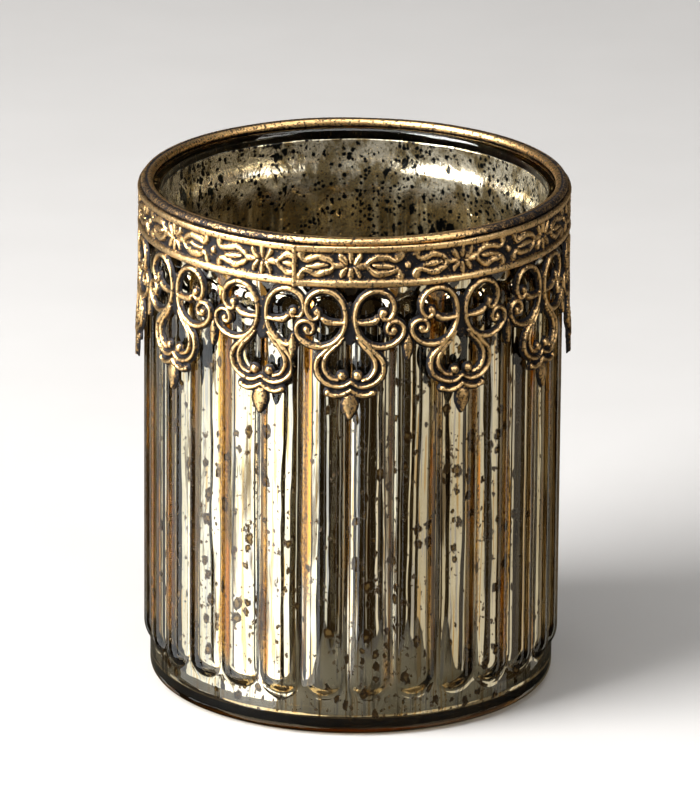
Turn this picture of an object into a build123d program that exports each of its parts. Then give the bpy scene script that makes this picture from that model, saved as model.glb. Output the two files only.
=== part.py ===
"""Tealight holder: ribbed silvered glass with a rolled brass rim and a stamped scroll border.

Millimetres, +Z up, origin at the centre of the base on the table.
Angles run from the front (-Y), positive towards +X.
"""
from build123d import *
import os
from math import cos, pi, sin, sqrt

# Glass
LIP_TOP = 99.0              # top of the glass lip
LIP_RADIUS = 40.0           # plain band above the ribs, outside
LIP_BORE = 37.0             # the same band, inside
LIP_ROUND = 0.8
FOOT_RADIUS = 39.15         # plain foot, and the bottom of the grooves
FOOT_ROUND = 2.5
RIB_COUNT = 28
RIB_PHASE = 5.2             # angle of the first rib's centre
RIB_CREST = 40.4
RIB_GROOVE = 39.0           # where two neighbouring ribs would meet
RIB_LOW = 7.2
RIB_HIGH = 88.6
SHOULDER_LOW = 86.0         # slope from the grooves out to the plain band
SHOULDER_HIGH = 90.5

# Hollow
FLOOR = 2.8                 # top of the glass base
FLOOR_ROUND = 2.6
WALL_BORE = 36.4            # plain inner wall, and the bottom of the flutes' grooves
FLUTE_CREST = 37.3          # the inner wall follows the ribs
FLUTE_GROOVE = 36.3         # where two neighbouring flutes would meet
FLUTE_LOW = 8.2
FLUTE_HIGH = 87.0
FILM_THICKNESS = 0.15
FILM_TOP = 95.9             # the silvering stops below the lip

# Brass rim
RIM_TOP = 100.0
RIM_BORE = 38.9
RIM_RADIUS = 40.7
RIM_FACE = 98.9             # underside of the rolled rim, outside the skirt
RIM_ROUND = 0.45
SKIRT_LOW = 91.2
RIM_JOINT = -0.5            # angle of the rim's butt joint
JOINT_GAP = 0.2             # degrees

# Stamped strip, ends lapped
BAND_BORE = 40.5
BAND_FACE = 41.0            # sunk ground of the frieze
BAND_LOW = 90.4
BAND_HIGH = 98.7
LOWER_BEAD = (41.0, 91.05, 0.6)     # radius, height, radius of the bead itself
UPPER_BEAD = (41.1, 98.2, 0.5)
LAP_ANGLE = -16.2
LAP_BAR_WIDTH = 0.5
LAP_BAR_ROOT = 40.75
LAP_BAR_FACE = 41.5
LAP_BAR_MARGIN = 0.3        # the bar stops short of the strip's edges

# Pendants
PENDANT_COUNT = 12
PENDANT_PITCH = 30.55       # twelve pitches are more than a turn, so the ends lap
FIRST_PENDANT = -85.9
LAPPED_PENDANT = 3          # its right edge lies under its neighbour
LAPPED_WIDTH = (7.4, 5.6)   # what shows of it, above and below LAPPED_HEIGHT
LAPPED_HEIGHT = 84.3
LAPPED_CUT = 10.0           # side of the block that takes away the rest
PLATE_FACE = 41.0
RIDGE_FACE = 41.6
FLARE = 0.8                 # how far the tips stand out from the glass
FLARE_HIGH = 82.0
FLARE_LOW = 64.0
RIDGE_WIDTH = 0.95
RIDGE_ROOT = 40.7           # ridges start inside the plate
PLATE_EDGE = 0.32           # sunk edge of the plate either side of each ridge
PATTERN_BACK = 37.0         # the flat pattern is a prism from here, through the curved sheet
PATTERN_DEPTH = 8.5

CLEARANCE = 1.0             # how far a cutting shape runs past what it cuts

# Right half of a pendant: distance from its axis, height. Each stroke is a chain of arcs,
# listed as start, middle, end and middle, end for each further arc.
SCROLL = [
    (6.6, 84.9), (7.7, 84.2), (8.6, 86.3), (7.6, 89.0), (5.2, 89.9), (1.9, 88.3), (0.75, 84.6),
    (1.7, 80.8), (4.2, 78.6), (7.2, 78.3), (9.3, 79.9), (9.7, 82.5), (8.2, 83.8), (7.0, 82.6),
    (7.9, 81.4),
]
TONGUE = [(0.9, 83.2), (3.0, 83.0), (4.9, 84.1)]
HEART_OUTER = [
    (5.1, 78.3), (6.6, 75.3), (6.1, 72.6), (4.4, 70.6), (2.0, 70.4), (1.0, 70.8), (0.2, 71.4),
]
HEART_INNER = [(0.7, 80.1), (3.0, 78.2), (4.4, 76.4), (4.7, 73.6), (3.2, 71.4)]
BROW = [(0.0, 70.4), (1.8, 68.9), (4.1, 69.4)]
STROKES = [SCROLL, TONGUE, HEART_OUTER, HEART_INNER, BROW]
BALLS = [(6.5, 85.3, 0.7), (8.1, 81.8, 0.7), (4.9, 84.1, 0.65), (1.4, 72.7, 0.7), (4.1, 69.4, 0.6)]
WEB = [(0.0, 87.5), (1.6, 84.0), (1.2, 79.5), (-1.2, 79.5), (-1.6, 84.0)]
DROP = (0.0, 67.1, 1.3, 2.2)         # drop at the tip: place, half width, half height
BUD = (-10.0, 78.9, 0.3, 1.8)       # bud at the junction with the pendant on the left


def rib(crest, groove, core, low, high):
    """One rib: a round bar with ball ends that stands out of the core on the +X side."""
    half_width = groove * sin(pi / RIB_COUNT)
    rise = crest - groove * cos(pi / RIB_COUNT)
    radius = (half_width**2 + rise**2) / (2 * rise)
    centre = crest - radius
    inset = sqrt(radius**2 - (core - centre) ** 2)
    bar_length = high - low - 2 * inset
    with BuildPart() as bar:
        with BuildSketch(Plane.XZ):
            with Locations((centre, (low + high) / 2)):
                SlotCenterToCenter(bar_length, 2 * radius, rotation=90)
            with Locations((centre - radius, (low + high) / 2)):
                Rectangle(2 * radius, bar_length + 4 * radius, mode=Mode.SUBTRACT)
        revolve(axis=Axis((centre, 0, 0), (0, 0, 1)))
    return bar.part


def hollow(inset, top):
    """The space inside the glass up to top, drawn in from every wall by inset."""
    wall = WALL_BORE - inset
    flute = rib(FLUTE_CREST - inset, FLUTE_GROOVE - inset, wall, FLUTE_LOW, FLUTE_HIGH)
    with BuildPart() as space:
        with BuildSketch(Plane.XZ) as half:
            with BuildLine():
                Polyline(
                    (0, FLOOR + inset),
                    (wall, FLOOR + inset),
                    (wall, SHOULDER_LOW),
                    (LIP_BORE - inset, SHOULDER_HIGH),
                    (LIP_BORE - inset, top),
                    (0, top),
                    close=True,
                )
            make_face()
            corner = half.vertices().group_by(Axis.Y)[0].sort_by(Axis.X)[-1]
            fillet(corner, FLOOR_ROUND - inset)
        revolve(axis=Axis.Z)
        with PolarLocations(0, RIB_COUNT, start_angle=RIB_PHASE - 90):
            add(flute)
    return space.part


def collar_shell(bore, face):
    """The curved sheet that a pendant is cut from, leaning outwards towards its tips."""
    with BuildPart() as shell:
        with BuildSketch(Plane.XZ):
            with BuildLine():
                Polyline(
                    (bore, BAND_LOW),
                    (face, BAND_LOW),
                    (face, FLARE_HIGH),
                    (face + FLARE, FLARE_LOW),
                    (bore + FLARE, FLARE_LOW),
                    (bore, FLARE_HIGH),
                    close=True,
                )
            make_face()
        revolve(axis=Axis.Z)
    return shell.part


def pendant_layer(bore, face, edge):
    """One layer of a pendant at the front: its pattern, widened by edge, cut from one shell."""
    shell = collar_shell(bore, face)
    width = RIDGE_WIDTH + 2 * edge
    with BuildPart() as layer:
        with BuildSketch(Plane.XZ.offset(PATTERN_BACK)):
            for points in STROKES:
                for start in range(0, len(points) - 1, 2):
                    with BuildLine():
                        ThreePointArc(*points[start : start + 3])
                    trace(line_width=width)
                with Locations(*points[::2]):
                    Circle(width / 2)
            for across, up, radius in BALLS:
                with Locations((across, up)):
                    Circle(radius + edge)
            mirror(about=Plane.YZ)
            for across, up, half_width, half_height in (DROP, BUD):
                with Locations((across, up)):
                    Ellipse(half_width + edge, half_height + edge)
            if edge:
                with BuildLine():
                    Polyline(*WEB, close=True)
                make_face()
        extrude(amount=PATTERN_DEPTH)
        add(shell, mode=Mode.INTERSECT)
    return layer.part


os.makedirs("parts", exist_ok=True)


def finish(part, label):
    """Name a finished piece and write its file."""
    part.label = label
    export_step(part, f"parts/{label}.step")


# Glass tumbler: foot, ribs and plain lip, hollowed
outer_rib = rib(RIB_CREST, RIB_GROOVE, FOOT_RADIUS, RIB_LOW, RIB_HIGH)
inside = hollow(0, LIP_TOP + CLEARANCE)
with BuildPart() as glass_vessel:
    with BuildSketch(Plane.XZ) as wall_section:
        with BuildLine():
            Polyline(
                (0, 0),
                (FOOT_RADIUS, 0),
                (FOOT_RADIUS, SHOULDER_LOW),
                (LIP_RADIUS, SHOULDER_HIGH),
                (LIP_RADIUS, LIP_TOP),
                (0, LIP_TOP),
                close=True,
            )
        make_face()
        foot_corner = wall_section.vertices().group_by(Axis.Y)[0].sort_by(Axis.X)[-1]
        fillet(foot_corner, FOOT_ROUND)
    revolve(axis=Axis.Z)
    with PolarLocations(0, RIB_COUNT, start_angle=RIB_PHASE - 90):
        add(outer_rib)
    add(inside, mode=Mode.SUBTRACT)
    lip_edges = glass_vessel.edges().filter_by(GeomType.CIRCLE).group_by(Axis.Z)[-1]
    fillet(lip_edges, LIP_ROUND)
finish(glass_vessel.part, "glass_vessel")

# Silvering: a thin skin on the inner wall and floor
film_inside = hollow(FILM_THICKNESS, FILM_TOP + CLEARANCE)
with BuildPart() as silver_lining:
    add(hollow(0, FILM_TOP))
    add(film_inside, mode=Mode.SUBTRACT)
finish(silver_lining.part, "silver_lining")

# Rim: a brass channel rolled over the lip, with a skirt down the outside, butted at one joint
with BuildPart() as rim_ring:
    with BuildSketch(Plane.XZ) as rim_section:
        with BuildLine():
            Polyline(
                (LIP_RADIUS, SKIRT_LOW),
                (BAND_BORE, SKIRT_LOW),
                (BAND_BORE, RIM_FACE),
                (RIM_RADIUS, RIM_FACE),
                (RIM_RADIUS, RIM_TOP),
                (RIM_BORE, RIM_TOP),
                (RIM_BORE, LIP_TOP),
                (LIP_RADIUS, LIP_TOP),
                close=True,
            )
        make_face()
        roll_corners = rim_section.vertices().group_by(Axis.Y)[-1]
        fillet(roll_corners, RIM_ROUND)
    revolve(axis=Axis.Z, revolution_arc=360 - JOINT_GAP)
rim = rim_ring.part.rotate(Axis.Z, RIM_JOINT - 90 + JOINT_GAP / 2)
finish(rim, "rim_ring")

# Frieze band: a strip between two beads, with a raised bar along its lapped end
with BuildPart() as frieze_band:
    with BuildSketch(Plane.XZ):
        with Locations(((BAND_BORE + BAND_FACE) / 2, (BAND_LOW + BAND_HIGH) / 2)):
            Rectangle(BAND_FACE - BAND_BORE, BAND_HIGH - BAND_LOW)
        for radius, height, bead in (LOWER_BEAD, UPPER_BEAD):
            with Locations((radius, height)):
                Circle(bead)
        with Locations((BAND_BORE / 2, BAND_LOW)):
            Rectangle(BAND_BORE, 2 * BAND_HIGH, mode=Mode.SUBTRACT)
    revolve(axis=Axis.Z, revolution_arc=360 - JOINT_GAP)
    with BuildSketch(Plane.XY.offset(BAND_LOW + LAP_BAR_MARGIN)):
        with Locations((LAP_BAR_ROOT, 0)):
            Rectangle(LAP_BAR_FACE - LAP_BAR_ROOT, LAP_BAR_WIDTH, align=(Align.MIN, Align.MIN))
    extrude(amount=BAND_HIGH - BAND_LOW - 2 * LAP_BAR_MARGIN)
band = frieze_band.part.rotate(Axis.Z, LAP_ANGLE - 90 + JOINT_GAP / 2)
finish(band, "frieze_band")

# Pendants: one pattern, repeated round the collar
plate = pendant_layer(BAND_BORE, PLATE_FACE, PLATE_EDGE)
ridges = pendant_layer(RIDGE_ROOT, RIDGE_FACE, 0)
with BuildPart() as pendant:
    add(plate)
    add(ridges)

# The pendant at the lap, without what lies under its neighbour
with BuildPart() as lapped_pendant:
    add(pendant.part)
    for width, height in zip(LAPPED_WIDTH, (LAPPED_HEIGHT, FLARE_LOW - CLEARANCE)):
        with BuildSketch(Plane.XY.offset(height)):
            with Locations((width, -BAND_FACE)):
                Rectangle(LAPPED_CUT, LAPPED_CUT, align=(Align.MIN, Align.CENTER))
        extrude(amount=BAND_HIGH - height, mode=Mode.SUBTRACT)
lapped = lapped_pendant.solids().sort_by(SortBy.VOLUME)[-1]

for number in range(1, PENDANT_COUNT + 1):
    pattern = lapped if number == LAPPED_PENDANT else pendant.part
    angle = FIRST_PENDANT + (number - 1) * PENDANT_PITCH
    if number > LAPPED_PENDANT:
        angle = angle - (PENDANT_COUNT * PENDANT_PITCH - 360)
    finish(pattern.rotate(Axis.Z, angle), f"pendant_{number:02d}")
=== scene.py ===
"""Looks of the tealight holder: silvered ribbed glass in a stamped, patinated brass collar.

Metres, in the CAD frame. Heights and distances along the collar are given in millimetres
and scaled by MM. Angles run from the front (-Y), positive towards +X.
"""

import math

import bpy
import numpy as np
from mathutils import Matrix, Vector


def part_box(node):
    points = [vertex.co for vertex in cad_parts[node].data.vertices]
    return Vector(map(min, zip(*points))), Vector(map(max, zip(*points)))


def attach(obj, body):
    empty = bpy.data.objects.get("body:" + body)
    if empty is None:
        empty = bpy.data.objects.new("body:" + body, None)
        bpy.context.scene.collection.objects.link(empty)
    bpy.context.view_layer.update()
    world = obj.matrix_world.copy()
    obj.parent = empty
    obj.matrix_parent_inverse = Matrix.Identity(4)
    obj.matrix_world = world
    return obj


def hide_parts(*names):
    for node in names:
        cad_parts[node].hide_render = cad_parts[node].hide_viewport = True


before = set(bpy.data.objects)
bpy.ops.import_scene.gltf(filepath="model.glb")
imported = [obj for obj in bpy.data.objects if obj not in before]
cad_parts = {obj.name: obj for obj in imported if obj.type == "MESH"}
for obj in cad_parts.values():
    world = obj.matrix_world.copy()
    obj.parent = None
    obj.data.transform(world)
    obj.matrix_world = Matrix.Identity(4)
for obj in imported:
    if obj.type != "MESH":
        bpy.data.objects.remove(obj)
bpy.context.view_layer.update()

MM = 0.001
BODY = "root"

# Places read from the CAD nodes, in millimetres
BAND_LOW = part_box("frieze_band")[0][2] / MM
BAND_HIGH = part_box("frieze_band")[1][2] / MM
RIM_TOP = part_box("rim_ring")[1][2] / MM
LIP_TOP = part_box("glass_vessel")[1][2] / MM - 0.5       # lower, for a thicker roll over it
FILM_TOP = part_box("silver_lining")[1][2] / MM + 0.7     # up to where the lip is seen
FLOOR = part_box("silver_lining")[0][2] / MM

# Glass
LIP_RADIUS = 40.0
LIP_BORE = 37.0
LIP_ROUND = 1.0
FOOT_RADIUS = 39.15
RIB_COUNT = 28
RIB_PHASE = 5.2
RIB_CREST = 40.4
RIB_GROOVE = 39.0
RIB_LOW, RIB_HIGH = 7.2, 88.6
FLUTE_CREST = 37.3
FLUTE_GROOVE = 36.4
FLUTE_LOW, FLUTE_HIGH = 8.2, 87.0
LIP_FLARE = (86, 91.5)      # heights between which the plain core widens to the lip
WAIST = 0.25                # how far the hollow narrows under its plain top
WAIST_RISE = (78, 88)
SHOULDER = (89.5, 93)
FOOT_ROUND = 2.5
UNDERSIDE = [(20, 0.35), (31, 0.3), (33.5, 0.0)]        # radius, height: a shallow hollow
FLOOR_ROUND = 1.2
FLOOR_RADII = (25.0, 10.0)  # of the rings of points on the flat of the floor
RIB_BLEND = 0.12            # how far the ribs round into the plain core
FLUTE_BLEND = 0.3
GLASS_COLUMNS = RIB_COUNT * 14
FILM_IN_GLASS = 0.06        # the silvering lies this far into the glass's inner face
FILM_PROUD = 0.12           # and stands this far off it

# Collar
BAND_BORE = 40.5
COLLAR_RADIUS = 41.5        # radius at which distances along the strip are measured
PITCH = 30.55               # degrees from pendant to pendant, a little over a twelfth
LAP_ANGLE = -16.2           # of the strip's upper end
RIM_JOINT = -0.5            # angle of the rim's butt joint at the next line's height
JOINT_HEIGHT = 99.4
JOINT_SLANT = 0.9           # degrees per millimetre up
JOINT_WIDTH = 0.16
FRONT_PENDANT = -0.86
PENDANT_COUNT = 12
LAPPED_PENDANT = 3          # partly under the next one, which is the front one
RELIEF_STEP = 0.17          # grid of the stamped relief
FLARE, FLARE_SPREAD = 0.55, 0.2     # how far a pendant's tip stands out, and its chance share
LEAN_SPREAD = 0.25          # chance twist of a pendant about its axis
LAP_LIFT = 0.3              # of the pendant over the lap, on its lapped side
LAP_CUT_LOW, LAP_CUT_HIGH = 6.2, 9.2    # how much of the pendant under the lap is left
LAP_CUT_HEIGHT = 84.3       # below and above this height

DEG = math.pi / 180
rng = np.random.default_rng(7)


# ---------------------------------------------------------------- mesh helpers

def mesh_object(name, vertices, groups, smooth=True):
    """A mesh object from vertices in millimetres and groups of faces of one size each."""
    mesh = bpy.data.meshes.new(name)
    vertices = np.asarray(vertices, float) * MM
    sizes = np.concatenate([np.full(len(group), group.shape[1]) for group in groups])
    corners = np.concatenate([group.ravel() for group in groups])
    mesh.vertices.add(len(vertices))
    mesh.vertices.foreach_set("co", vertices.ravel())
    mesh.loops.add(len(corners))
    mesh.loops.foreach_set("vertex_index", corners.astype(np.int32))
    mesh.polygons.add(len(sizes))
    starts = np.concatenate([[0], np.cumsum(sizes)[:-1]])
    mesh.polygons.foreach_set("loop_start", starts.astype(np.int32))
    mesh.update(calc_edges=True)
    mesh.validate()
    if smooth:
        mesh.polygons.foreach_set("use_smooth", np.ones(len(mesh.polygons), bool))
    piece = bpy.data.objects.new(name, mesh)
    bpy.context.scene.collection.objects.link(piece)
    return piece


def paint(piece, name, values):
    """A float attribute on the points of a piece, for its material to read."""
    layer = piece.data.attributes.new(name, "FLOAT", "POINT")
    layer.data.foreach_set("value", np.asarray(values, np.float32))


def on_cylinder(angle, radius, height):
    """Points from an angle from the front, in degrees, a radius and a height."""
    turn = np.asarray(angle) * DEG
    return np.stack([radius * np.sin(turn), -radius * np.cos(turn), height + 0 * turn], -1)


def smooth_step(low, high, value):
    """0 below low, 1 above high and a smooth rise between them."""
    share = np.clip((value - low) / (high - low), 0, 1)
    return share * share * (3 - 2 * share)


def arc(angle, start, end):
    """1 along an arc, fading out at both ends. Each end is a pair of angles, outer first."""
    return smooth_step(*start, angle) * smooth_step(*end, angle)


def ring_faces(rows, columns):
    """Quads of a grid of rows of points, closed round its columns."""
    index = np.arange(rows * columns).reshape(rows, columns)
    right = np.roll(index, -1, axis=1)
    quads = np.stack([index[:-1], right[:-1], right[1:], index[1:]], -1)
    return quads.reshape(-1, 4)


def turned_solid(name, rows):
    """A closed solid from rings of points, its first and last rings filled in."""
    columns = len(rows[0])
    first = np.arange(columns)[None, ::-1]
    last = np.arange(columns)[None, :] + (len(rows) - 1) * columns
    return mesh_object(
        name, np.concatenate(rows), [ring_faces(len(rows), columns), first, last]
    )


def wander(angle, height, seed, around=12, rise=0.08, waves=8):
    """A seeded unevenness over the round surface, about -1 to 1, with at most the given
    number of waves around and the given rise in radians per millimetre of height."""
    draw = np.random.default_rng(seed)
    total = np.zeros(np.broadcast(angle, height).shape)
    for _ in range(waves):
        turns = draw.integers(1, around + 1)
        slope = draw.uniform(-rise, rise)
        phase = draw.uniform(0, 2 * math.pi)
        total = total + np.sin(turns * angle * DEG + slope * height + phase)
    return total * math.sqrt(2 / waves) / 2


# ---------------------------------------------------------------- glass

# Heights of the rings of points on the two faces, close together where the ribs end
OUTSIDE_HEIGHTS = np.concatenate([
    np.linspace(3.0, 6.8, 6), np.linspace(7.2, 13, 20), np.linspace(15, 82, 24),
    np.linspace(83, 91.5, 26), np.linspace(93, LIP_TOP - 1.3, 4),
])
INSIDE_HEIGHTS = np.concatenate([
    np.linspace(97.4, 92, 5), np.linspace(91, 82, 24), np.linspace(80, 16, 26),
    np.linspace(15, 6, 20),
])
FILM_WALL_TOP = 95          # the silvering's own top rings take over above this height


def rib_profile(angle, height, crest, groove, low, high):
    """Radius of the ribbed surface: round ribs with ball ends over a plain core."""
    half_pitch = math.pi / RIB_COUNT
    half_width = groove * math.sin(half_pitch)
    rise = crest - groove * math.cos(half_pitch)
    round_radius = (half_width**2 + rise**2) / (2 * rise)
    centre = crest - round_radius
    turn = ((angle - RIB_PHASE) * DEG + half_pitch) % (2 * half_pitch) - half_pitch
    inset = math.sqrt(round_radius**2 - (groove + 0.15 - centre) ** 2)
    beyond = np.maximum(np.maximum(low + inset - height, height - (high - inset)), 0)
    across = centre * np.sin(turn)
    left = round_radius**2 - across**2 - beyond**2
    return centre * np.cos(turn) + np.sqrt(np.maximum(left, 0))


def soft_max(first, second, blend):
    """The larger of two fields, rounded where they meet."""
    gap = np.clip(0.5 + 0.5 * (first - second) / blend, 0, 1)
    return second * (1 - gap) + first * gap + blend * gap * (1 - gap)


def outside_radius(angle, height):
    """The ribbed outer face."""
    plain = FOOT_RADIUS + (LIP_RADIUS - FOOT_RADIUS) * smooth_step(*LIP_FLARE, height)
    ribs = rib_profile(angle, height, RIB_CREST, RIB_GROOVE, RIB_LOW, RIB_HIGH)
    return soft_max(ribs, plain, RIB_BLEND)


def inside_radius(angle, height):
    """The fluted inner face, uneven as blown glass is, with a waist under its plain top."""
    waist = WAIST * smooth_step(*WAIST_RISE, height)
    widened = (LIP_BORE - FLUTE_GROOVE + WAIST) * smooth_step(*SHOULDER, height)
    plain = FLUTE_GROOVE - waist + widened
    ribs = rib_profile(angle, height, FLUTE_CREST, FLUTE_GROOVE - 0.1, FLUTE_LOW, FLUTE_HIGH)
    slow = 0.05 * wander(angle, height, seed=31, around=36, rise=0.06)
    quick = 0.004 * wander(angle, height, seed=32, around=120, rise=0.2)
    fade = smooth_step(LIP_TOP - 1.6, LIP_TOP - 4, height)
    return soft_max(ribs, plain, FLUTE_BLEND) + (slow + quick) * fade


def corner(radius, centre_r, centre_z, start, end, count):
    """Points of a round corner in the (radius, height) plane."""
    turn = np.linspace(start, end, count) * DEG
    return np.stack([centre_r + radius * np.cos(turn), centre_z + radius * np.sin(turn)], -1)


def make_glass():
    """The tumbler: base, ribbed outside, rounded lip, fluted inside and thin floor."""
    angle = np.linspace(0, 360, GLASS_COLUMNS, endpoint=False)
    rows = []

    def plain(points):
        for radius, height in points:
            rows.append(on_cylinder(angle, np.full(GLASS_COLUMNS, float(radius)), height))

    def walls(shape, heights):
        for height in heights:
            rows.append(on_cylinder(angle, shape(angle, height), height))

    plain(UNDERSIDE)
    plain(corner(FOOT_ROUND, FOOT_RADIUS - FOOT_ROUND, FOOT_ROUND, -90, 0, 9))
    walls(outside_radius, OUTSIDE_HEIGHTS)
    plain(corner(LIP_ROUND, LIP_RADIUS - LIP_ROUND, LIP_TOP - LIP_ROUND, 0, 90, 6))
    plain(corner(LIP_ROUND, LIP_BORE + LIP_ROUND, LIP_TOP - LIP_ROUND, 90, 180, 6))
    walls(inside_radius, INSIDE_HEIGHTS)
    plain(corner(FLOOR_ROUND, FLUTE_GROOVE - FLOOR_ROUND, FLOOR + FLOOR_ROUND, 0, -90, 8))
    plain([(radius, FLOOR) for radius in FLOOR_RADII])
    return turned_solid("ribbed_glass", rows)


def film_sheet(angle, offset, heights):
    """Rings of one face of the silvering, offset from the glass's inner face, from the top."""
    rows = []
    ragged = 0.07 * wander(angle, 0, seed=3, around=30) - 0.1
    for height in heights:
        level = height + ragged * smooth_step(FILM_TOP - 2, FILM_TOP, height)
        rows.append(on_cylinder(angle, inside_radius(angle, level) + offset, level))
    turn = FLOOR_ROUND + offset
    for radius, height in corner(
        turn, FLUTE_GROOVE - FLOOR_ROUND, FLOOR + FLOOR_ROUND, 0, -90, 8
    ):
        rows.append(on_cylinder(angle, np.full(len(angle), radius), height))
    for radius in FLOOR_RADII:
        rows.append(on_cylinder(angle, np.full(len(angle), radius), FLOOR - offset))
    return rows


def make_film():
    """The silvering: a thin skin on the inner face of the glass wall and floor. Its points
    know which side they are on and how far they are from the middle of a flute."""
    angle = np.linspace(0, 360, GLASS_COLUMNS, endpoint=False)
    wall = INSIDE_HEIGHTS[INSIDE_HEIGHTS < FILM_WALL_TOP]
    heights = np.concatenate([[FILM_TOP, FILM_TOP - 0.3], wall])
    behind = film_sheet(angle, FILM_IN_GLASS, heights)
    shown = film_sheet(angle, -FILM_PROUD, heights)
    film = turned_solid("silver_film", behind[::-1] + shown)
    paint(film, "inside", np.repeat([0.0, 1.0], len(behind) * GLASS_COLUMNS))
    half_pitch = 180 / RIB_COUNT
    across = np.abs((angle - RIB_PHASE + half_pitch) % (2 * half_pitch) - half_pitch) / half_pitch
    paint(film, "groove", np.tile(across, 2 * len(behind)))
    return film


# ---------------------------------------------------------------- stamped relief

def smooth_line(points, spacing=0.12):
    """A smooth curve through points: (across, up, half width) each, as a dense list."""
    points = np.asarray(points, float)
    ends = np.concatenate([[2 * points[0] - points[1]], points, [2 * points[-1] - points[-2]]])
    dense = []
    for before, start, end, after in zip(ends, ends[1:], ends[2:], ends[3:]):
        count = max(int(np.hypot(*(end - start)[:2]) / spacing), 2)
        for share in np.linspace(0, 1, count, endpoint=False):
            dense.append(0.5 * (
                2 * start + (end - before) * share
                + (2 * before - 5 * start + 4 * end - after) * share**2
                + (3 * start - before - 3 * end + after) * share**3
            ))
    dense.append(points[-1])
    return np.array(dense)


def stroke_distance(across, up, line):
    """For every grid point, the distance to a stroke as a share of its half width there,
    and the distance outside its edge."""
    share = np.full(across.shape, 1e3)
    outside = np.full(across.shape, 1e3)
    for start, end in zip(line, line[1:]):
        reach = 2.5 + max(start[2], end[2])
        low = np.minimum(start, end) - reach
        high = np.maximum(start, end) + reach
        near = (across > low[0]) & (across < high[0]) & (up > low[1]) & (up < high[1])
        if not near.any():
            continue
        px, py = across[near] - start[0], up[near] - start[1]
        dx, dy = end[0] - start[0], end[1] - start[1]
        along = np.clip((px * dx + py * dy) / (dx * dx + dy * dy + 1e-12), 0, 1)
        width = start[2] + (end[2] - start[2]) * along
        gap = np.hypot(px - along * dx, py - along * dy)
        share[near] = np.minimum(share[near], gap / width)
        outside[near] = np.minimum(outside[near], gap - width)
    return share, outside


def relief(across, up, strokes, top):
    """Height of rounded strokes above their ground, and the distance outside them all. A
    narrow stroke stands lower than the given top."""
    height = np.zeros(across.shape)
    outside = np.full(across.shape, 1e3)
    for points in strokes:
        share, gap = stroke_distance(across, up, smooth_line(points))
        widest = max(half_width for _, _, half_width in points)
        bump = np.sqrt(np.clip(1 - share**2, 0, 1)) * min(top, 0.55 + 0.9 * widest)
        height = np.maximum(height, bump)
        outside = np.minimum(outside, gap)
    return height, outside


def ball(across, up, radius):
    """A round knob as a very short stroke."""
    return [(across, up, radius), (across + 0.05, up, radius)]


# Right half of a pendant, which its left half mirrors: distance from its axis, height,
# half width
PENDANT_STROKES = [
    [   # scroll, from its upper curl over the loop and round to its lower curl
        (6.1, 85.6, 0.42), (5.95, 84.9, 0.4), (6.6, 84.2, 0.4), (7.6, 84.4, 0.42),
        (8.4, 85.9, 0.45), (8.2, 87.7, 0.47), (7.1, 89.1, 0.5), (5.2, 89.8, 0.52),
        (3.2, 89.3, 0.5), (1.7, 87.8, 0.48), (0.98, 85.8, 0.46), (0.95, 83.5, 0.46),
        (1.6, 81.4, 0.46), (2.9, 79.8, 0.48), (4.7, 78.9, 0.5), (6.8, 78.8, 0.5),
        (8.8, 79.6, 0.48), (10.1, 81.1, 0.46), (10.2, 82.7, 0.44), (9.1, 83.7, 0.42),
        (7.7, 83.6, 0.4), (7.0, 82.5, 0.38), (7.4, 81.5, 0.38), (8.3, 81.5, 0.4),
    ],
    ball(6.3, 85.5, 0.72),      # the eyes of the two curls
    ball(8.3, 82.0, 0.68),
    [   # leaf between the curls
        (1.0, 83.6, 0.38), (2.8, 83.5, 0.5), (4.4, 83.7, 0.62), (5.2, 84.3, 0.5),
    ],
    [   # heart, outer ridge
        (2.6, 80.4, 0.2), (3.6, 79.0, 0.35), (4.9, 77.7, 0.46), (6.1, 76.3, 0.5),
        (6.4, 74.6, 0.5), (5.9, 73.0, 0.48), (4.5, 71.7, 0.46), (2.6, 71.1, 0.42),
        (1.2, 71.3, 0.36), (0.1, 72.0, 0.3),
    ],
    [   # heart, inner ridge
        (1.3, 80.7, 0.2), (2.3, 79.3, 0.34), (3.8, 77.8, 0.4), (4.8, 76.1, 0.42),
        (4.8, 74.4, 0.42), (3.8, 72.9, 0.38), (2.4, 72.4, 0.3),
    ],
    ball(1.45, 73.2, 0.85),
    [   # brow under the heart
        (0.0, 70.5, 0.42), (1.3, 69.7, 0.46), (2.9, 69.4, 0.45), (4.1, 69.8, 0.4),
    ],
    ball(4.2, 69.9, 0.6),
]
PENDANT_DROP = [(0.0, 68.4, 1.35), (0.0, 67.5, 1.5), (0.0, 66.3, 1.0), (0.0, 65.0, 0.25)]
PENDANT_BUD = [(-11.0, 80.6, 0.35), (-11.0, 79.0, 0.85), (-11.0, 77.6, 0.7), (-11.0, 76.4, 0.2)]
PENDANT_WEB = [(0.0, 87.4, 0.25), (0.0, 85.5, 0.7), (0.0, 82.0, 0.95), (0.0, 80.2, 1.0)]
PENDANT_TOP = [(-8.5, 90.6, 0.25), (8.5, 90.6, 0.25)]
PLATE_EDGE = 0.3            # of plain plate outside the strokes
PLATE_RISE = 0.42           # of the plate's front over its back
PLATE_ROUND = 0.15          # how far the front drops at its edge
RIDGE_RISE = 1.05
TIP_RISE = 0.5              # of the drop and the bud over the plate


def pendant_fields(across, up):
    """Height of a pendant over its back, and the distance outside its outline."""
    half = np.abs(across)
    ridge, outside = relief(half, up, PENDANT_STROKES, RIDGE_RISE - PLATE_RISE)
    extra, edge = relief(across, up, [PENDANT_DROP, PENDANT_BUD], TIP_RISE)
    ridge = np.maximum(ridge, extra)
    outside = np.minimum(outside, edge)
    outside = outside - PLATE_EDGE
    for line in (PENDANT_WEB, PENDANT_TOP):
        outside = np.minimum(outside, stroke_distance(across, up, smooth_line(line))[1])
    return ridge, outside


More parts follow.
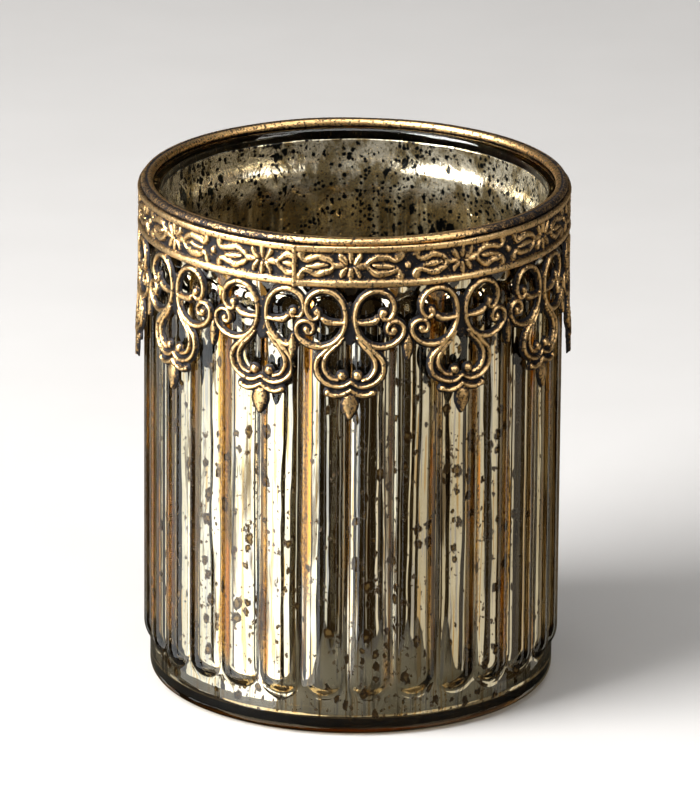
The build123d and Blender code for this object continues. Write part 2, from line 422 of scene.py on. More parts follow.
def cut_grid(across, up, outside):
    """The cells of a grid that lie on the piece, with the outer points drawn in to its
    outline, and which points are used."""
    slope_up, slope_across = np.gradient(outside, RELIEF_STEP)
    steep = np.hypot(slope_up, slope_across)
    inside = outside < 0
    cell = inside[:-1, :-1] | inside[1:, :-1] | inside[:-1, 1:] | inside[1:, 1:]
    used = np.zeros(inside.shape, bool)
    for rows, columns in ((0, 0), (1, 0), (0, 1), (1, 1)):
        used[rows : rows + cell.shape[0], columns : columns + cell.shape[1]] |= cell
    stray = used & ~inside
    pull = np.where(stray, outside / np.maximum(steep, 0.5) ** 2, 0)
    pull = np.clip(pull, 0, RELIEF_STEP)
    return across - pull * slope_across, up - pull * slope_up, cell, used


def relief_mesh(name, across, up, outside, front, place):
    """A watertight sheet: the front at the given height, a flat back, and walls between.

    place(across, up, height) turns a point of the flat pattern into a point in space."""
    across, up, cell, used = cut_grid(across, up, outside)
    number = np.full(used.shape, -1)
    number[used] = np.arange(used.sum())
    count = int(used.sum())
    quads = np.stack([
        number[:-1, :-1][cell], number[:-1, 1:][cell], number[1:, 1:][cell], number[1:, :-1][cell],
    ], -1)
    sides = np.concatenate([quads[:, [0, 1]], quads[:, [1, 2]], quads[:, [2, 3]], quads[:, [3, 0]]])
    keys = np.sort(sides, axis=1)
    keys = keys[:, 0] * count + keys[:, 1]
    _, first, uses = np.unique(keys, return_index=True, return_counts=True)
    rim = sides[first[uses == 1]]
    top = place(across[used], up[used], front[used])
    back = place(across[used], up[used], 0 * front[used])
    walls = np.stack([rim[:, 1], rim[:, 0], rim[:, 0] + count, rim[:, 1] + count], -1)
    faces = np.concatenate([quads, quads[:, ::-1] + count, walls])
    piece = mesh_object(name, np.concatenate([top, back]), [faces])
    return piece, used


def pendant_pattern():
    """The flat grid of a pendant, its front height, outline distance and bare height."""
    across, up = np.meshgrid(
        np.arange(-12.2, 12.2, RELIEF_STEP), np.arange(64.4, 91.2, RELIEF_STEP)
    )
    ridge, outside = pendant_fields(across, up)
    outside = np.maximum(outside, up - BAND_LOW - 0.15)
    rounded = smooth_step(0.0, 0.22, -outside)
    front = (PLATE_RISE - PLATE_ROUND) + PLATE_ROUND * rounded + ridge
    return across, up, front, outside, ridge


def make_pendants():
    """Twelve pendants of one pattern, each a little bent in its own way."""
    across, up, front, outside, ridge = pendant_pattern()
    pieces = []
    for number in range(1, PENDANT_COUNT + 1):
        turn = FRONT_PENDANT + (number - LAPPED_PENDANT - 1) * PITCH
        if number <= LAPPED_PENDANT:
            turn += PENDANT_COUNT * PITCH - 360
        flare = FLARE + FLARE_SPREAD * rng.random()
        lean = LEAN_SPREAD * (rng.random() - 0.5)
        lifted = LAP_LIFT if number == LAPPED_PENDANT + 1 else 0.0
        edge = outside
        if number == LAPPED_PENDANT:
            covered = np.where(up < LAP_CUT_HEIGHT, across - LAP_CUT_LOW, across - LAP_CUT_HIGH)
            edge = np.maximum(outside, covered)

        def place(u, z, height):
            """A point of the pattern on this pendant, which sways, flares and leans."""
            sway = 0.12 * np.sin(0.5 * z + number) + 0.08 * np.sin(0.9 * u + 2 * number)
            out = flare * smooth_step(84, 64, z) + lean * 0.04 * u * smooth_step(86, 66, z)
            out = out + lifted * smooth_step(-3, -10, u)
            angle = turn + (u + sway * smooth_step(88, 70, z)) / COLLAR_RADIUS / DEG
            return on_cylinder(angle, BAND_BORE + out + height, z)

        piece, used = relief_mesh(f"scroll_pendant_{number:02d}", across, up, edge, front, place)
        shown = ridge[used]
        paint(piece, "ridge", np.concatenate([shown, 0 * shown]))
        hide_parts(f"pendant_{number:02d}")
        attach(piece, BODY)
        pieces.append(piece)
    return pieces


# Half a pitch of the frieze, from the centre of a flower: along, above mid height, half width
FRIEZE_STROKES = [
    [(0.0, 0.7, 0.35), (0.0, 1.4, 0.61), (0.05, 2.1, 0.58), (0.1, 2.6, 0.35)],
    [(0.0, -0.7, 0.35), (0.0, -1.4, 0.61), (0.0, -2.0, 0.58), (0.0, -2.5, 0.35)],
    [(0.75, 0.35, 0.29), (1.25, 0.95, 0.58), (1.75, 1.7, 0.58), (1.9, 2.2, 0.35)],
    [(0.75, -0.35, 0.29), (1.2, -0.95, 0.58), (1.65, -1.6, 0.58), (1.8, -2.1, 0.35)],
    [(1.3, 0.0, 0.35), (2.3, 0.0, 0.7), (3.3, 0.0, 0.47)],
    [   # upper side of the eye
        (3.1, 0.15, 0.41), (3.9, 0.95, 0.58), (5.5, 1.6, 0.73), (7.3, 1.35, 0.66),
        (8.6, 0.95, 0.56), (9.3, 1.35, 0.54), (9.5, 2.0, 0.58),
    ],
    ball(9.45, 2.1, 0.9),
    [   # lower side of the eye
        (3.1, -0.15, 0.41), (3.9, -1.0, 0.58), (5.5, -1.7, 0.73), (7.4, -1.45, 0.66),
        (8.7, -0.95, 0.56), (9.4, -1.35, 0.54), (9.6, -2.0, 0.58),
    ],
    ball(9.55, -2.1, 0.9),
    [(4.4, 0.05, 0.23), (5.5, -0.05, 0.58), (7.0, -0.2, 0.53), (8.2, -0.25, 0.23)],
    ball(11.05, 0.0, 0.77),
]
FRIEZE_MIDDLE = 94.8
GROUND_RISE = 0.42          # of the sunk ground over the strip's back
FRIEZE_RISE = 0.6
BEADS = ((91.25, 0.8, 1.1), (98.1, 0.88, 1.1))      # height, half width, top over the back
BAND_COLUMN = 0.29          # degrees between the columns of its mesh
BAND_ROW = 0.19
HAND_ALONG, HAND_UP = 0.16, 0.14        # how far its ornament is out of true
LAP_TURN = 361.5            # the strip's length in degrees
LAP_LENGTH = 6.5            # degrees over which the upper end rides up on the lower one
LAP_RISE = 0.42
LAP_BAR = (0.6, 0.62, 0.85)         # middle and half width in degrees, rise


def frieze_fields(along, up):
    """Height of the frieze over its ground at distances from the front flower's centre."""
    pitch = PITCH * DEG * COLLAR_RADIUS
    folded = np.abs((along + pitch / 2) % pitch - pitch / 2)
    return relief(folded, up - FRIEZE_MIDDLE, FRIEZE_STROKES, FRIEZE_RISE)[0]


def make_band():
    """The strip's frieze and its two beads, wound once round with its ends lapped."""
    heights = np.arange(BAND_LOW, BAND_HIGH, BAND_ROW)
    turns = np.arange(LAP_ANGLE, LAP_ANGLE + LAP_TURN, BAND_COLUMN)
    angle, up = np.meshgrid(turns, heights)
    along = (angle - FRONT_PENDANT) * DEG * COLLAR_RADIUS
    along = along + HAND_ALONG * wander(angle, up, seed=13, around=110, rise=1.6)
    level = up + HAND_UP * wander(angle, up, seed=14, around=110, rise=1.6)
    front = GROUND_RISE + frieze_fields(along, level)
    for height, half_width, top in BEADS:
        bead = np.clip(1 - ((up - height) / half_width) ** 2, 0, 1)
        front = np.maximum(front, GROUND_RISE + (top - GROUND_RISE) * np.sqrt(bead))
    middle, half_width, rise = LAP_BAR
    bar = np.clip(1 - ((angle - LAP_ANGLE - middle) / half_width) ** 2, 0, 1)
    front = np.maximum(front, GROUND_RISE + rise * np.sqrt(bar))
    front[0] = GROUND_RISE
    ridge = front - GROUND_RISE
    lift = LAP_RISE * smooth_step(LAP_ANGLE + LAP_LENGTH, LAP_ANGLE, angle)
    back = BAND_BORE + lift + 0.04 * wander(angle, up, seed=11)
    level = up + 0.06 * wander(angle, 0, seed=12) * smooth_step(0, 1, up - BAND_LOW)
    outer = on_cylinder(angle, back + front, level)
    inner = on_cylinder(angle[[-1, 0]], back[[-1, 0]], level[[-1, 0]])
    loop = np.concatenate([outer, inner]).swapaxes(0, 1)
    count, size = loop.shape[:2]
    sides = ring_faces(count, size)[:, ::-1]
    first = np.arange(size)[None, :]
    last = first[:, ::-1] + (count - 1) * size
    piece = mesh_object("frieze_strip", loop.reshape(-1, 3), [sides, first, last])
    shown = np.concatenate([ridge, 0 * ridge[[-1, 0]]])
    paint(piece, "ridge", shown.T.ravel())
    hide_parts("frieze_band")
    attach(piece, BODY)
    return piece


# ---------------------------------------------------------------- rim

# Radius, height, how rubbed it is: up the skirt's outside, round the roll, down its inside
RIM_SECTION = [
    (40.45, 91.4, 0.1), (40.45, 98.4, 0.0), (40.8, 98.75, 0.3), (40.96, 99.0, 0.6),
    (40.95, 99.3, 0.9), (40.82, 99.6, 1.0), (40.6, 99.84, 1.0), (40.35, 99.95, 0.8),
    (40.12, 99.93, 0.4), (39.95, 99.86, 0.15), (39.8, 99.86, 0.15), (39.62, 99.92, 0.45),
    (39.4, 99.97, 0.9), (39.1, 99.93, 1.0), (38.84, 99.76, 1.0), (38.66, 99.45, 0.95),
    (38.6, 99.1, 0.8), (38.66, 98.78, 0.5), (38.84, 98.56, 0.2), (39.2, 98.48, 0.0),
    (40.04, 98.46, 0.12), (40.04, 91.4, 0.12),
]
RIM_COLUMNS = 900
ROLL_START = (98.6, 99.2)           # heights over which the hand-working sets in
SKIRT_LIMIT = 40.2                  # beyond this radius nothing is bent outwards
TARNISH_LIMIT = 40.3                # and beyond this one the sides are tarnished
# Arc of the painted highlight across the front, then the two arcs of tarnish on the outer side
PAINTED_HIGHLIGHT_ARC = ((-15, -4), (40, 22))
TARNISHED_ARCS = (((-100, -80), (-12, -20)), ((25, 42), (125, 100)))


def make_rim():
    """The rolled rim, hand-worked: not quite even, with a slanted butt joint. Across the
    front it is painted with a bright gold highlight, and its outer edge is tarnished on both sides
    of that."""
    angle = np.linspace(0, 360, RIM_COLUMNS, endpoint=False)
    rows, wear_and_highlight = [], []
    face = (angle + 180) % 360 - 180
    # Painted highlight: bright gold over the whole section across the front
    bright = 0.8 * arc(face, *PAINTED_HIGHLIGHT_ARC)
    dull = 0.6 * sum(arc(face, *ends) for ends in TARNISHED_ARCS)
    section = np.array(RIM_SECTION + RIM_SECTION[:1])
    for radius, height, wear in section:
        top = smooth_step(*ROLL_START, height)
        slant = face - (RIM_JOINT + JOINT_SLANT * (height - JOINT_HEIGHT))
        joint = np.exp(-((slant / JOINT_WIDTH) ** 2)) * top
        sag = (0.05 * wander(angle, height, seed=21) - 0.05 - 0.2 * joint) * top
        out = (0.03 * wander(angle, 0, seed=22) - 0.12 * joint) * top
        if radius > SKIRT_LIMIT:
            out = np.minimum(out, 0.0)
        rows.append(on_cylinder(angle, radius + out, np.minimum(height + sag, RIM_TOP)))
        tarnish = dull * (radius > TARNISH_LIMIT)
        wear_and_highlight.append(np.maximum(wear, bright) * (1 - joint) * (1 - tarnish))
    points = np.concatenate(rows)
    piece = mesh_object("rolled_rim", points, [ring_faces(len(rows), RIM_COLUMNS)])
    paint(piece, "ridge", np.concatenate(wear_and_highlight))
    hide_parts("rim_ring")
    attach(piece, BODY)
    return piece


# ---------------------------------------------------------------- materials

class Nodes:
    """Short names for the shader nodes of one material."""

    def __init__(self, name):
        self.material = bpy.data.materials.new(name)
        self.material.use_nodes = True
        self.tree = self.material.node_tree
        self.shader = self.tree.nodes["Principled BSDF"]
        self.output = self.tree.nodes["Material Output"]

    def node(self, kind, inputs=None, **settings):
        made = self.tree.nodes.new(kind)
        for key, value in settings.items():
            setattr(made, key, value)
        for key, value in (inputs or {}).items():
            self.put(made.inputs[key], value)
        return made

    def put(self, socket, value):
        """Link a socket to another one, or set its own value."""
        if isinstance(value, bpy.types.NodeSocket):
            self.tree.links.new(value, socket)
        else:
            socket.default_value = value

    def set(self, **values):
        for key, value in values.items():
            self.put(self.shader.inputs[key.replace("_", " ")], value)

    def math(self, operation, first, second=0.0, clamp=False):
        made = self.node("ShaderNodeMath", {0: first, 1: second}, operation=operation)
        made.use_clamp = clamp
        return made.outputs[0]

    def ramp(self, value, low, high, out_low=0.0, out_high=1.0):
        """A smooth step of a value between two limits."""
        made = self.node(
            "ShaderNodeMapRange",
            {0: value, 1: low, 2: high, 3: out_low, 4: out_high},
            interpolation_type="SMOOTHSTEP",
        )
        return made.outputs[0]

    def mix(self, share, first, second, kind="MIX"):
        made = self.node("ShaderNodeMix", data_type="RGBA", blend_type=kind)
        self.put(made.inputs[0], share)
        self.put(made.inputs[6], first)
        self.put(made.inputs[7], second)
        return made.outputs[2]

    def noise(self, where, scale, detail=3.0, roughness=0.55, distortion=0.0):
        made = self.node("ShaderNodeTexNoise", {
            "Vector": where, "Scale": scale, "Detail": detail, "Roughness": roughness,
            "Distortion": distortion,
        })
        return made.outputs["Fac"]

    def centred(self, value, scale):
        """A value about a half, moved to be about zero and scaled."""
        return self.math("MULTIPLY", self.math("SUBTRACT", value, 0.5), scale)

    def shaken(self, where, scale, reach):
        """Coordinates moved about by noise, to make what is drawn on them ragged."""
        made = self.node("ShaderNodeTexNoise", {"Vector": where, "Scale": scale, "Detail": 2.0})
        shift = self.node(
            "ShaderNodeVectorMath", {0: made.outputs["Color"], 1: (reach, reach, reach)},
            operation="MULTIPLY",
        )
        return self.node("ShaderNodeVectorMath", {0: where, 1: shift.outputs[0]}).outputs[0]

    def spots(self, where, scale, size, share=0.5):
        """Scattered ragged spots of many sizes, at most size of a cell wide, and their
        middles. They gather in patches that cover about the given share."""
        cells = self.node("ShaderNodeTexVoronoi", {"Vector": where, "Scale": scale})
        chance = self.node("ShaderNodeSeparateColor", {0: cells.outputs["Color"]}).outputs[0]
        patches = self.noise(where, scale * 0.12, 2, 0.5)
        gather = self.ramp(patches, 0.62 - 0.25 * share, 0.72 - 0.25 * share, 0.35, 1.0)
        reach = self.math("MULTIPLY", self.math("POWER", chance, 1.6), gather)
        reach = self.math("MAXIMUM", self.math("MULTIPLY", reach, size), 0.01)
        gap = self.math("DIVIDE", cells.outputs["Distance"], reach)
        return self.ramp(gap, 1.1, 0.85), self.ramp(gap, 0.55, 0.25)

    def stretched(self, x, y, z):
        """Object coordinates with each axis scaled."""
        where = self.node("ShaderNodeTexCoord").outputs["Object"]
        return self.node("ShaderNodeMapping", {"Vector": where, "Scale": (x, y, z)}).outputs[0]

    def bump(self, height, distance, strength=1.0):
        made = self.node("ShaderNodeBump", {
            "Height": height, "Distance": distance, "Strength": strength,
        })
        return made.outputs[0]


PATINA = (0.026, 0.025, 0.027, 1)


def brass(name, bright, mid, wear_low, wear_high, pits):
    """Aged brass: worn gold where the metal stands proud, black patina where it is sunk,
    and pitted where fine noise is above pits. The gold is paler on the crests as a painted
    highlight and darker down their sides as painted shade."""
    m = Nodes(name)
    place = m.stretched(1, 1, 1)
    ridge = m.node("ShaderNodeAttribute", attribute_name="ridge").outputs["Fac"]
    fine = m.noise(place, 2400, 4, 0.7)
    broad = m.noise(place, 420, 3, 0.6)
    uneven = m.math("ADD", m.centred(fine, 2.0), m.centred(broad, 0.8))
    worn = m.ramp(m.math("ADD", ridge, uneven), wear_low, wear_high)
    pitted = m.ramp(m.noise(place, 1900, 3, 0.6), pits, pits + 0.04)
    worn = m.math("MULTIPLY", worn, m.math("SUBTRACT", 1.0, m.math("MULTIPLY", pitted, 0.9)))
    # Painted highlight: paler gold on the crests of the relief, and darker gold down their sides as
    # painted shade, broken up by broad noise
    crest = m.ramp(m.math("ADD", ridge, m.centred(broad, 0.9)), 0.3, 0.62)
    gold = m.mix(crest, mid, bright)
    m.set(
        Base_Color=m.mix(worn, PATINA, gold),
        Metallic=1.0,
        Roughness=m.ramp(worn, 0.0, 1.0, 0.6, 0.3),
        Normal=m.bump(m.math("ADD", fine, m.math("MULTIPLY", broad, 2.0)), 0.00008),
    )
    return m.material


def glass_material():
    """Clear glass with a warm cast that deepens where the light crosses more of it."""
    m = Nodes("amber_glass")
    ripple = m.noise(m.stretched(1, 1, 0.25), 60, 2, 0.5)
    m.set(
        Base_Color=(1.0, 1.0, 1.0, 1.0),
        Transmission_Weight=1.0,
        IOR=1.5,
        Roughness=m.ramp(ripple, 0.3, 0.7, 0.0, 0.03),
        Normal=m.bump(ripple, 0.0006, 0.5),
    )
    tint = m.node("ShaderNodeVolumeAbsorption", {
        "Color": (0.93, 0.74, 0.30, 1.0), "Density": 70.0,
    })
    m.tree.links.new(tint.outputs[0], m.output.inputs["Volume"])
    return m.material


# Colours of the silvering through the glass
SILVER_DIM, SILVER_BRIGHT = (0.68, 0.64, 0.53, 1), (0.92, 0.91, 0.85, 1)
THREAD_BLUE, THREAD_BROWN = (0.42, 0.45, 0.56, 1), (0.62, 0.42, 0.16, 1)
RUN_BROWN = (0.12, 0.08, 0.035, 1)
GROOVE_DARK_BROWN = (0.14, 0.075, 0.02, 1)
# Amber and orange: a painted glow and glint of light through the glass between the ribs
GLOW_AMBER_DEEP, GLOW_AMBER_BRIGHT = (0.26, 0.12, 0.018, 1), (1.0, 0.60, 0.13, 1)
GLINT_ORANGE = (1.0, 0.42, 0.05, 1)
FRECKLE_EDGE, FRECKLE_HEART = (0.055, 0.032, 0.011, 1), (0.30, 0.20, 0.08, 1)
DUST_BROWN = (0.10, 0.06, 0.025, 1)

# And from inside; the deep olive low in the hollow is partly painted shade
OLIVE_DEEP, OLIVE_BRIGHT = (0.15, 0.10, 0.035, 1), (0.46, 0.33, 0.14, 1)
OLIVE_RUN = (0.70, 0.58, 0.34, 1)
PALE_DIM, PALE_BRIGHT = (0.26, 0.20, 0.10, 1), (0.86, 0.79, 0.60, 1)
GRAIN_BROWN = (0.10, 0.085, 0.05, 1)
HOLE_BLACK = (0.008, 0.008, 0.007, 1)


def silver_through_glass(m, height, clouds, runs, grain, ragged):
    """The silvering's colour through the glass: runs and threads, patches darker along the
    grooves, amber and orange streaks between the ribs that are a painted glow and glint of
    light through the glass, freckles and dust. Also how much of that glow it has and how marked."""
    threads = m.noise(m.stretched(1, 1, 0.03), 1500, 2, 0.5)
    silver = m.mix(m.ramp(clouds, 0.35, 0.65), SILVER_DIM, SILVER_BRIGHT)
    silver = m.mix(m.ramp(threads, 0.58, 0.64, 0.0, 0.6), silver, THREAD_BLUE)
    silver = m.mix(m.ramp(threads, 0.42, 0.37, 0.0, 0.7), silver, THREAD_BROWN)
    silver = m.mix(m.ramp(runs, 0.56, 0.66, 0.0, 0.85), silver, RUN_BROWN)

    groove = m.node("ShaderNodeAttribute", attribute_name="groove").outputs["Fac"]
    patches = m.noise(m.stretched(1, 1, 0.13), 120, 3, 0.55)
    on_ribs = m.ramp(height, 8 * MM, 14 * MM)
    # Darker brown in patches along the grooves between the ribs
    groove_dark = m.math("MULTIPLY", m.ramp(groove, 0.72, 0.85), m.ramp(patches, 0.5, 0.42))
    groove_dark = m.math("MULTIPLY", groove_dark, on_ribs)
    silver = m.mix(groove_dark, silver, GROOVE_DARK_BROWN)
    # Painted glow: amber between the ribs, where light shines through the glass, deep in places and
    # bright in others
    amber_glow_tone = m.mix(m.ramp(grain, 0.44, 0.56), GLOW_AMBER_DEEP, GLOW_AMBER_BRIGHT)
    amber = m.math("MULTIPLY", m.ramp(groove, 0.45, 0.72), m.ramp(patches, 0.5, 0.56))
    amber = m.math("MULTIPLY", amber, on_ribs)
    silver = m.mix(amber, silver, amber_glow_tone)
    # Painted glint: an orange line down the flanks of the ribs, light gleaming through the amber
    # glass
    line = m.math("MULTIPLY", m.ramp(groove, 0.5, 0.58), m.ramp(groove, 0.74, 0.66))
    line = m.math("MULTIPLY", line, m.math("MULTIPLY", on_ribs, m.ramp(patches, 0.56, 0.6)))
    silver = m.mix(line, silver, GLINT_ORANGE)

    freckles, freckle_hearts = m.spots(ragged, 540, 0.58, 0.8)
    silver = m.mix(freckles, silver, FRECKLE_EDGE)
    silver = m.mix(m.math("MULTIPLY", freckle_hearts, 0.8), silver, FRECKLE_HEART)
    dust, _ = m.spots(ragged, 1400, 0.5, 0.7)
    silver = m.mix(m.math("MULTIPLY", dust, 0.9), silver, DUST_BROWN)
    return silver, amber, m.math("MAXIMUM", freckles, dust)


def silver_from_inside(m, height, clouds, runs, grain, ragged):
    """The silvering's colour on its bare side: olive with runs, darker low in the hollow partly
    as painted shade, pale and mottled near the top, with dark grain and holes."""
    olive = m.mix(m.ramp(clouds, 0.38, 0.62), OLIVE_DEEP, OLIVE_BRIGHT)
    olive = m.mix(m.ramp(runs, 0.47, 0.6, 0.0, 0.7), olive, OLIVE_RUN)
    mottle = m.noise(m.stretched(1, 1, 0.6), 240, 4, 0.65)
    pale = m.mix(m.ramp(mottle, 0.4, 0.6), PALE_DIM, PALE_BRIGHT)
    # Olive below, pale near the top; the olive is partly the silvering's own tarnish and partly
    # painted shade deep in the hollow
    bare = m.mix(m.ramp(height, 83 * MM, 88 * MM), olive, pale)
    bare = m.mix(m.ramp(grain, 0.52, 0.64, 0.0, 0.8), bare, GRAIN_BROWN)
    holes, _ = m.spots(ragged, 560, 0.72, 0.7)
    pin_holes, _ = m.spots(m.shaken(m.stretched(1, 1, 1), 2000, 0.0004), 1200, 0.7, 0.9)
    return m.mix(m.math("MAXIMUM", holes, pin_holes), bare, HOLE_BLACK)


def silver_swell(m, height, inside):
    """How uneven the silvering is: slow swells, with swirls over the hollow's lower part."""
    swirls = m.noise(m.stretched(1, 1, 0.6), 380, 3, 0.5, 1.2)
    low = m.math("MULTIPLY", inside, m.ramp(height, 90 * MM, 84 * MM, 0.25, 1.0))
    low = m.math("MULTIPLY", low, m.ramp(height, 4 * MM, 9 * MM, 0.2, 1.0))
    swell = m.noise(m.stretched(1, 1, 0.3), 160, 2, 0.4)
    return m.math("ADD", swell, m.math("MULTIPLY", low, m.math("MULTIPLY", swirls, 5.0)))


def film_material():
    """Antique silvering: bright through the glass, with tarnish, specks and amber streaks that
    are a painted glow of light through the glass, and duller, darker and more pitted on the
    bare side, its darkness low in the hollow partly painted shade."""
    m = Nodes("antique_silvering")
    inside = m.node("ShaderNodeAttribute", attribute_name="inside").outputs["Fac"]
    height = m.node("ShaderNodeSeparateXYZ", {0: m.stretched(1, 1, 1)}).outputs[2]
    clouds = m.noise(m.stretched(1, 1, 0.4), 90, 4, 0.6)
    runs = m.noise(m.stretched(1, 1, 0.08), 420, 4, 0.62, 0.3)
    grain = m.noise(m.stretched(1, 1, 0.7), 2600, 3, 0.65)
    ragged = m.shaken(m.stretched(1, 1, 0.65), 1400, 0.0012)
    silver, amber, marks = silver_through_glass(m, height, clouds, runs, grain, ragged)
    bare = silver_from_inside(m, height, clouds, runs, grain, ragged)

    outside = m.math("SUBTRACT", 1.0, inside)
    # Less metallic and rougher where the painted glow, the freckles and the dust lie
    stain_and_glow = m.math("MAXIMUM", m.math("MULTIPLY", amber, 0.8), marks)
    stain_and_glow = m.math("MULTIPLY", stain_and_glow, outside)
    dull = m.math("MULTIPLY", inside, m.ramp(height, 80 * MM, 90 * MM, 0.14, 0.22))
    bare_share = m.math("MULTIPLY", inside, 0.15)
    stain_and_glow_share = m.math("MULTIPLY", stain_and_glow, 0.38)
    m.set(
        Base_Color=m.mix(inside, silver, bare),
        Metallic=m.math("SUBTRACT", 1.0, m.math("MAXIMUM", bare_share, stain_and_glow_share)),
        Roughness=m.math("ADD", m.math("MAXIMUM", dull, 0.03), m.math("MULTIPLY", stain_and_glow, 0.16)),
        Normal=m.bump(silver_swell(m, height, inside), 0.00012),
    )
    return m.material


# ---------------------------------------------------------------- stage

FLOOR_REACH = 6000.0        # millimetres from its middle to each side
FLOOR_STEPS = 13


def make_floor():
    """A plain pale floor. Glass and mirror see past it, as they would over a dark table."""
    steps = np.linspace(-FLOOR_REACH, FLOOR_REACH, FLOOR_STEPS)
    x, y = np.meshgrid(steps, steps)
    index = np.arange(FLOOR_STEPS**2).reshape(FLOOR_STEPS, FLOOR_STEPS)
    quads = np.stack([index[:-1, :-1], index[:-1, 1:], index[1:, 1:], index[1:, :-1]], -1)
    points = np.stack([x.ravel(), y.ravel(), 0 * x.ravel()], -1)
    floor = mesh_object("floor", points, [quads.reshape(-1, 4)], smooth=False)
    m = Nodes("pale_floor")
    tone = m.noise(m.stretched(1, 1, 1), 30, 2)
    m.set(Base_Color=m.mix(tone, (0.40, 0.39, 0.38, 1), (0.43, 0.42, 0.41, 1)), Roughness=0.7)
    floor.data.materials.append(m.material)
    floor.visible_glossy = False
    floor.visible_transmission = False
    floor.visible_shadow = False


RING_COLUMNS = 240
RING_BORE = 41.0
RING_WIDTH = 7.5
RING_FRONT = 46.0           # further width in front, where the painted dark reflection reaches further
RING_WAVES = 13.0
RING_FRONT_ARC = ((-30, -12), (58, 40))
RING_SHARES = (0.0, 0.5, 0.86, 1.0)     # of its width, at its rings of points


def make_painted_reflection_ring():
    """What the lower ribs mirror: a painted dark reflection, a dark ring on the floor with a black
    outer edge, wide in front, that no camera sees. It stands in for a dark table and the shade
    round the foot."""
    angle = np.linspace(-180, 180, RING_COLUMNS, endpoint=False)
    uneven = RING_WAVES * wander(angle, 0, seed=41, around=30)
    width = RING_WIDTH + arc(angle, *RING_FRONT_ARC) * (RING_FRONT + uneven)
    rows = [on_cylinder(angle, RING_BORE + share * width, 0.02) for share in RING_SHARES]
    faces = ring_faces(len(rows), RING_COLUMNS)
    ring = mesh_object("painted_reflection_ring", np.concatenate(rows), [faces], smooth=False)
    paint(ring, "edge", np.repeat(RING_SHARES, RING_COLUMNS))
    m = Nodes("painted_dark_reflection")
    tone = m.noise(m.stretched(1, 1, 1), 60, 2)
    edge = m.node("ShaderNodeAttribute", attribute_name="edge").outputs["Fac"]
    # Painted dark reflection: near black, and black at the outer edge
    grey = m.mix(tone, (0.013, 0.011, 0.005, 1), (0.029, 0.026, 0.014, 1))
    m.set(Base_Color=m.mix(m.ramp(edge, 0.86, 0.9), grey, (0.003, 0.002, 0.001, 1)), Roughness=0.8)
    ring.data.materials.append(m.material)
    ring.visible_camera = False
    ring.visible_diffuse = False
    ring.visible_shadow = False


AIM_HEIGHT = 0.05           # metres, half way up the holder


def card(name, azimuth, elevation, distance, width, height, brightness, colour=(1, 1, 1)):
    """A soft box that faces the object. Azimuth is from the front, positive towards +X, and
    brightness is the radiance of its face."""
    light = bpy.data.lights.new(name, "AREA")
    light.shape = "RECTANGLE"
    light.size = width
    light.size_y = height
    light.energy = brightness * math.pi * width * height
    light.color = colour
    box = bpy.data.objects.new(name, light)
    turn, lift = azimuth * DEG, elevation * DEG
    box.location = (
        distance * math.cos(lift) * math.sin(turn),
        -distance * math.cos(lift) * math.cos(turn),
        AIM_HEIGHT + distance * math.sin(lift),
    )
    aim = Vector((0, 0, AIM_HEIGHT)) - Vector(box.location)
    box.rotation_euler = aim.to_track_quat("-Z", "Y").to_euler()
    box.visible_camera = False
    bpy.context.scene.collection.objects.link(box)


# What the upright mirror of the glass shows to a camera that looks down on it: strips of
# light below the table's level, as a dark glossy table would show them, and dimmer cards
# lower down for its rounded rib ends. Azimuth, width in metres, brightness
STRIPS = [
    (-98, 0.46, 1.5), (-60, 0.64, 2.5), (-31, 0.14, 2.2), (-13, 0.06, 1.1), (7, 0.03, 0.3),
    (25, 0.05, 0.9), (38, 0.1, 0.7), (61, 0.42, 0.68), (93, 0.2, 0.62), (130, 0.2, 0.6),
    (-140, 0.12, 0.7),
]
STRIP_LIFT, STRIP_DISTANCE, STRIP_HEIGHT = -18, 1.0, 0.75
LOW_LIFT, LOW_DISTANCE, LOW_HEIGHT = -52, 0.8, 0.55
LOW_CARDS = [(-64, 0.6, 1.6), (-10, 0.5, 0.16), (35, 0.4, 0.22), (70, 0.4, 0.5), (120, 0.6, 0.12)]
COOL = (0.91, 0.965, 1.0)
WARM = (1.0, 0.95, 0.82)
DIM_WARM = (1.0, 0.86, 0.60)
SURROUNDINGS = (0.022, 0.015, 0.007, 1)
BACKDROP = (0.62, 0.61, 0.59, 1)


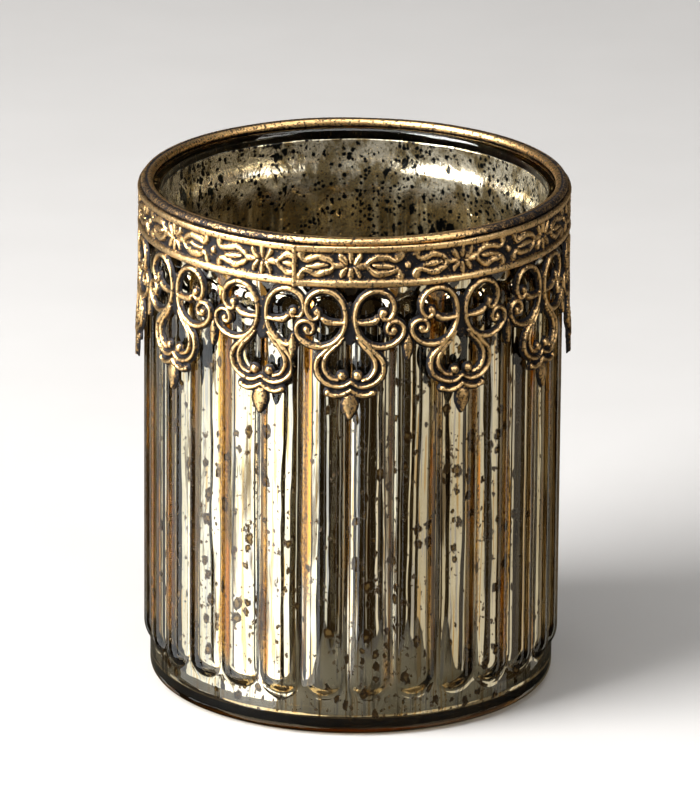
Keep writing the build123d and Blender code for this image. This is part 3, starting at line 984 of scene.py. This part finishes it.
def make_lights():
    """The key, the fill, the overhead box, what the ribs mirror, and the surroundings,
    which are dark to everything but the camera."""
    card("key_left", -62, 34, distance=1.0, width=0.65, height=0.85, brightness=23)
    card("fill_right", 52, 30, distance=1.1, width=0.4, height=0.55, brightness=6)
    card("overhead", 0, 85, distance=1.0, width=0.9, height=0.9, brightness=3.5)
    for number, (azimuth, width, brightness) in enumerate(STRIPS, 1):
        tint = COOL if azimuth < 0 else WARM
        card(
            f"strip_{number}", azimuth, STRIP_LIFT, STRIP_DISTANCE, width, STRIP_HEIGHT,
            brightness, tint,
        )
    card("behind", 180, STRIP_LIFT, STRIP_DISTANCE, 1.6, 0.8, 0.12, DIM_WARM)
    for number, (azimuth, width, brightness) in enumerate(LOW_CARDS, 1):
        card(
            f"low_{number}", azimuth, LOW_LIFT, LOW_DISTANCE, width, LOW_HEIGHT,
            brightness, DIM_WARM,
        )
    world = bpy.data.worlds.new("studio")
    world.use_nodes = True
    bpy.context.scene.world = world
    tree = world.node_tree
    background = tree.nodes["Background"]
    path = tree.nodes.new("ShaderNodeLightPath")
    tone = tree.nodes.new("ShaderNodeMix")
    tone.data_type = "RGBA"
    tone.inputs[6].default_value = SURROUNDINGS
    tone.inputs[7].default_value = BACKDROP
    tree.links.new(path.outputs["Is Camera Ray"], tone.inputs[0])
    tree.links.new(tone.outputs[2], background.inputs["Color"])


CAMERA_LIFT = 18.35         # degrees above the horizon
CAMERA_ROLL = 0.45
CAMERA_DISTANCE = 1.6
CAMERA_AIM = (-0.00054, 0, 0.0548)
LENS, SENSOR = 372.4, 36.0


def make_camera():
    """A long lens a little above the holder, looking down at it."""
    data = bpy.data.cameras.new("camera")
    data.lens = LENS
    data.sensor_width = SENSOR
    data.clip_start = 0.05
    camera = bpy.data.objects.new("camera", data)
    lift = CAMERA_LIFT * DEG
    away = Vector((0, -math.cos(lift), math.sin(lift)))
    camera.location = Vector(CAMERA_AIM) + CAMERA_DISTANCE * away
    turn = away.to_track_quat("Z", "Y").to_matrix().to_4x4()
    roll = Matrix.Rotation(CAMERA_ROLL * DEG, 4, "Z")
    camera.rotation_euler = (turn @ roll).to_euler()
    bpy.context.scene.collection.objects.link(camera)
    bpy.context.scene.camera = camera


# ---------------------------------------------------------------- assembly

bpy.context.scene.view_settings.view_transform = "Standard"
make_camera()
make_floor()
make_painted_reflection_ring()
make_lights()

# bright is the gold of the painted highlight on the crests, mid the darker gold of the painted
# shade on their sides
strip_brass = brass(
    "stamped_brass", bright=(0.93, 0.62, 0.29, 1), mid=(0.46, 0.27, 0.10, 1),
    wear_low=0.18, wear_high=0.42, pits=0.565,
)
rim_brass = brass(
    "rolled_brass", bright=(0.88, 0.56, 0.24, 1), mid=(0.46, 0.27, 0.11, 1),
    wear_low=0.3, wear_high=0.62, pits=0.54,
)

glass = make_glass()
glass.data.materials.append(glass_material())
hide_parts("glass_vessel")
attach(glass, BODY)

film = make_film()
film.data.materials.append(film_material())
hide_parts("silver_lining")
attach(film, BODY)

rim = make_rim()
rim.data.materials.append(rim_brass)
band = make_band()
band.data.materials.append(strip_brass)
for pendant in make_pendants():
    pendant.data.materials.append(strip_brass)
